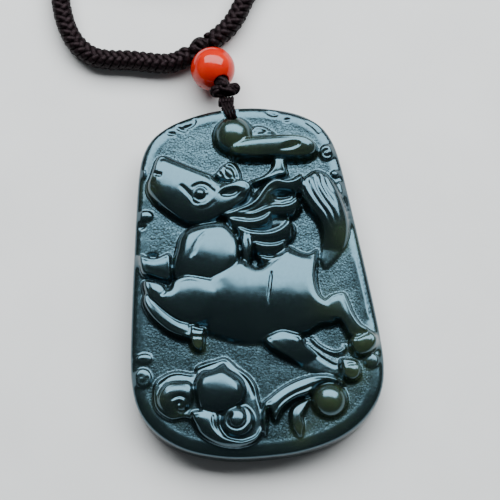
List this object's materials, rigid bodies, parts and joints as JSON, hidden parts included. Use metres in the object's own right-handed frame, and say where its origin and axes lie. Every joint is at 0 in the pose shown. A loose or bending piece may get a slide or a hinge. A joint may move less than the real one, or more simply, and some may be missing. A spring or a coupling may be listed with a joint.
{
  "type": "jade pendant",
  "caption": "Dark green jade pendant carved in relief with a galloping horse and clouds, hung by thin strands and a stone bead from a braided neck cord with a sliding closure.",
  "frame": {"origin": "centre of the plaque's flat back", "axes": "+Z leaves the carved face, +Y points up the plaque towards its cord, +X to the right as the carving is seen"},
  "size_m": [0.0495, 0.1323, 0.0091],
  "materials": {
    "jade": "polished nephrite, slightly translucent; the sunk ground is matt and finely pitted",
    "agate": "polished translucent red-orange agate",
    "strand_cord": "thin twisted nylon cord",
    "braid_cord": "round braid of dark nylon cord with a slight sheen",
    "knot_cord": "knotted dark nylon cord"
  },
  "bodies": {
    "neck_cord": {"collar_knot": "knot_cord", "bead_core": "strand_cord", "crown_knot": "knot_cord", "braid_left": "braid_cord", "braid_right": "braid_cord", "coil_left": "braid_cord", "coil_right": "braid_cord", "wrap_left": "knot_cord", "wrap_right": "knot_cord", "tail_left": "strand_cord", "tail_right": "strand_cord", "stopper_left": "knot_cord", "stopper_right": "knot_cord"},
    "bead": {"agate_bead": "agate"},
    "bail": {"bail_strands": "strand_cord"},
    "plaque": {"jade_plaque": "jade"},
    "slider": {"slider_knot": "knot_cord"}
  },
  "joints": [
    {"name": "plaque_fold", "type": "hinge", "parent": "neck_cord", "child": "bail", "pos_m": [-0.0011, 0.0303, 0.0047], "axis": [-1, 0, 0], "range_deg": [0, 45]},
    {"name": "plaque_swing", "type": "hinge", "parent": "bail", "child": "plaque", "pos_m": [-0.0004, 0.027, 0.0034], "axis": [0, 0, 1], "range_deg": [-8, 8]},
    {"name": "bead_spin", "type": "hinge", "parent": "neck_cord", "child": "bead", "pos_m": [-0.0028, 0.0365, 0.0037], "axis": [0.3288, -0.8221, 0.4648], "continuous": true},
    {"name": "closure_slide", "type": "slide", "parent": "neck_cord", "child": "slider", "axis": [1, 0, 0], "range_m": [-0.0032, 0.0032]}
  ]
}
